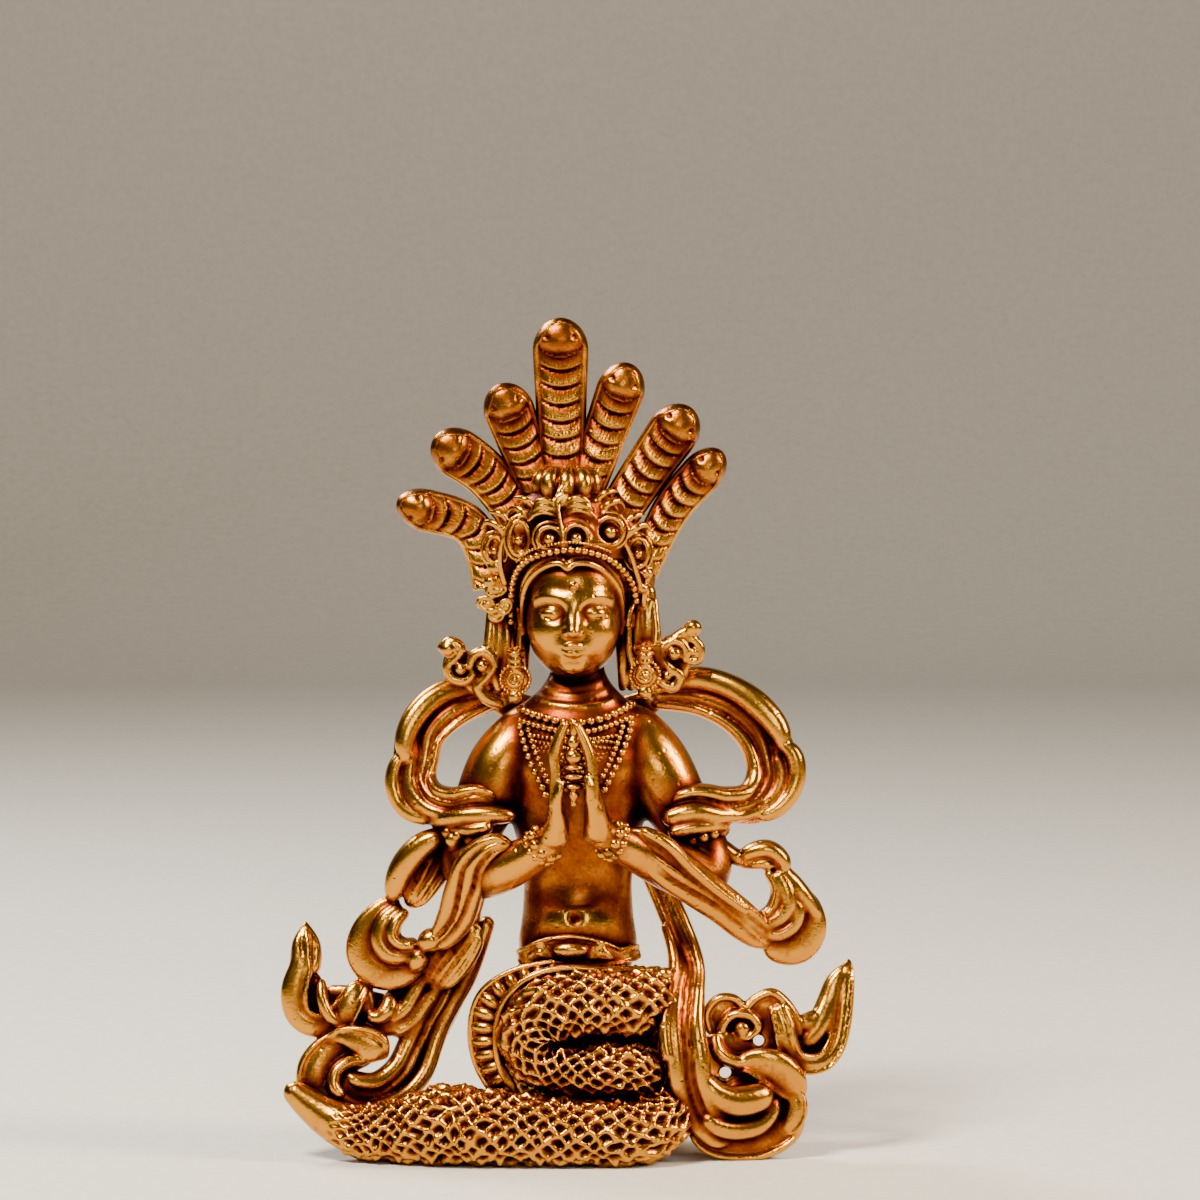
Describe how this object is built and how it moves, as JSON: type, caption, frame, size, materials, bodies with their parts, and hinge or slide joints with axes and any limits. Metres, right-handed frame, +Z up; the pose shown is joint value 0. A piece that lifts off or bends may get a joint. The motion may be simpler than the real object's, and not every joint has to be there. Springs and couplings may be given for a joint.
{
  "type": "naga figure",
  "caption": "Small gilt metal figure of a crowned naga deity with joined palms, a fan of cobra hoods behind the crown, curling scarves and a coiled scaled serpent body.",
  "frame": {"origin": "under the middle of the figure's box, on the surface it stands on", "axes": "+Z up, the figure looks along -Y, +X to the right of someone who faces it"},
  "size_m": [0.0415, 0.0168, 0.0601],
  "materials": {
    "gilt_brass": "polished high spots over copper-red and dark recesses"
  },
  "bodies": {
    "root": {"naga_figure": "gilt_brass"}
  },
  "joints": []
}
